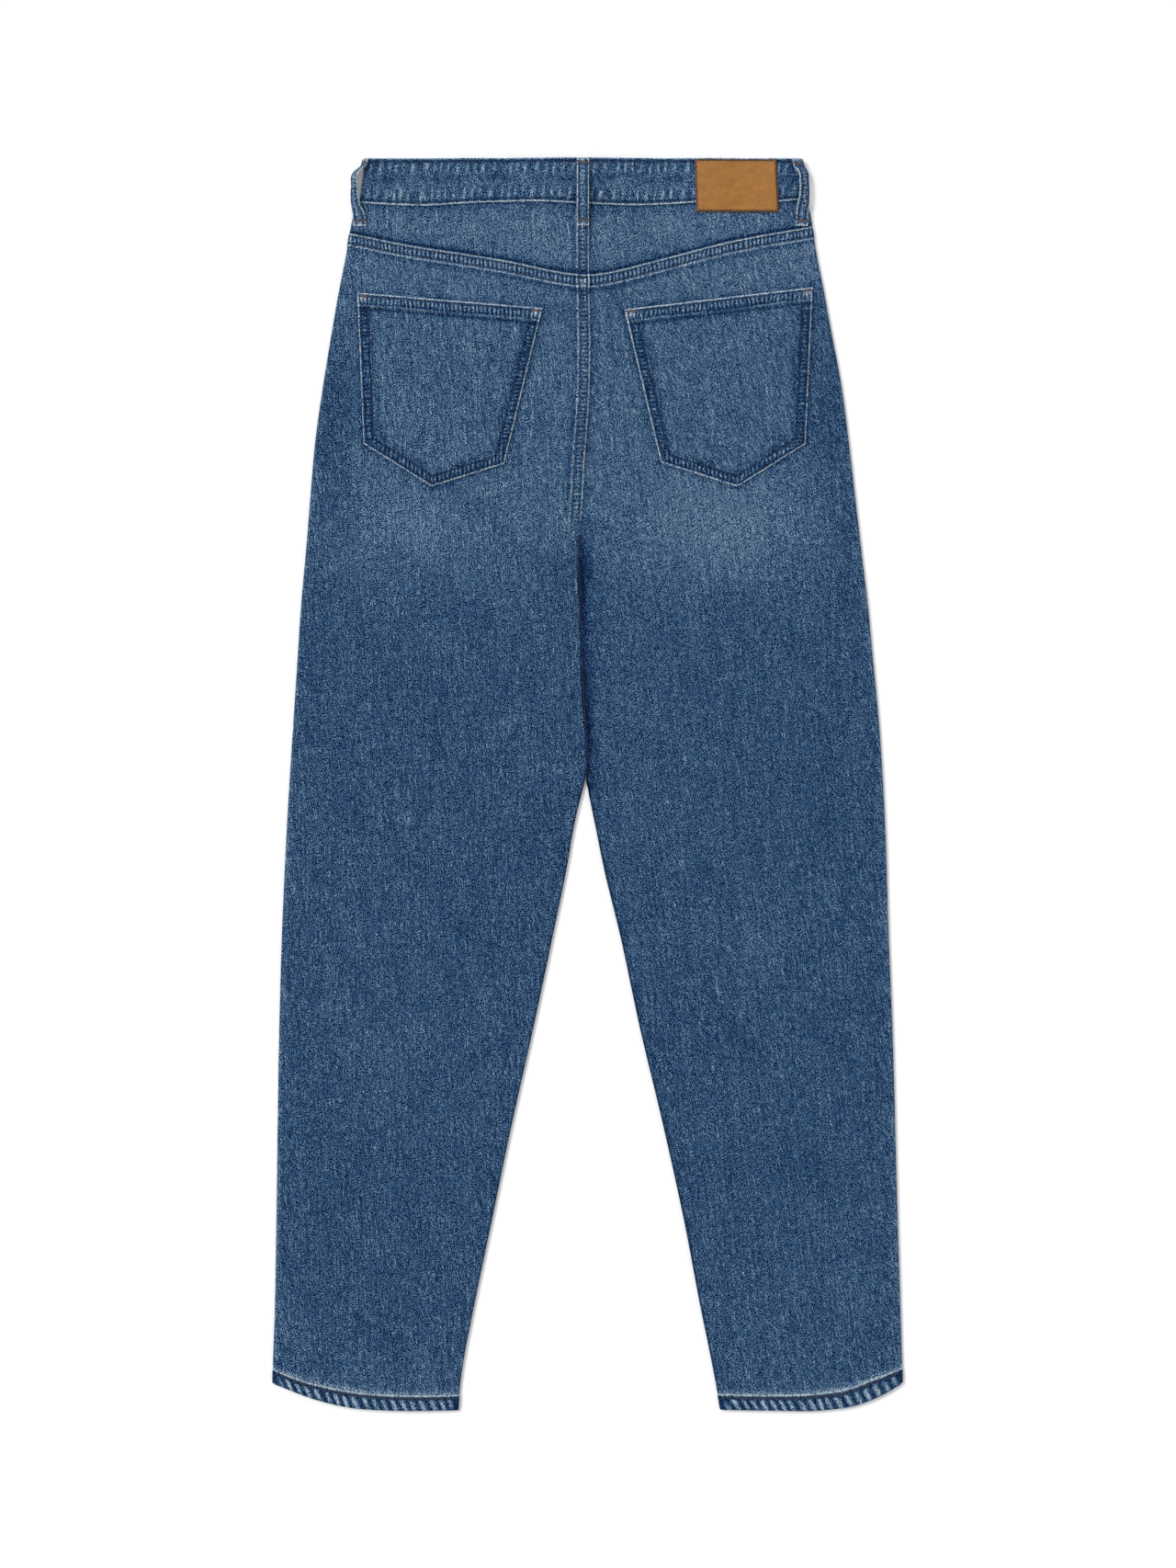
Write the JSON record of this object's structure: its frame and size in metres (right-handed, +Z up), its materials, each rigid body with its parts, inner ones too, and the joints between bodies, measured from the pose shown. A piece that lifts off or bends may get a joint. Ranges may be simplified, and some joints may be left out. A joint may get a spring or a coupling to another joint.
{
  "type": "pair of jeans laid flat, back up",
  "caption": "High-rise tapered denim jeans laid flat on their front, with patch pockets, yoke, belt loops, bare leather patch and roped hems.",
  "frame": {"origin": "centre of the garment's outline, on the surface that it lies on", "axes": "+Y from the hems to the waist, +Z up out of the back, +X toward the wearer's right leg"},
  "size_m": [0.536, 1.0634, 0.0163],
  "materials": {
    "denim": "mid-blue washed twill, matt",
    "faded_denim": "faded blue twill with worn edges, matt",
    "leather": "tan, bare, softly polished",
    "zip_tape": "navy woven tape",
    "brass": "aged"
  },
  "bodies": {
    "root": {"back_left": "denim", "back_right": "denim", "front_left": "denim", "front_right": "denim", "facing_left": "denim", "facing_right": "denim", "yoke_left": "faded_denim", "yoke_right": "faded_denim", "pocket_left": "faded_denim", "pocket_right": "faded_denim", "waistband": "faded_denim", "hem_left": "faded_denim", "hem_right": "faded_denim", "loop_center": "faded_denim", "loop_back_left": "faded_denim", "loop_back_right": "faded_denim", "loop_front_left": "faded_denim", "loop_front_right": "faded_denim", "patch": "leather", "zip_tape": "zip_tape", "zip_slider": "brass", "button": "brass"}
  },
  "joints": []
}
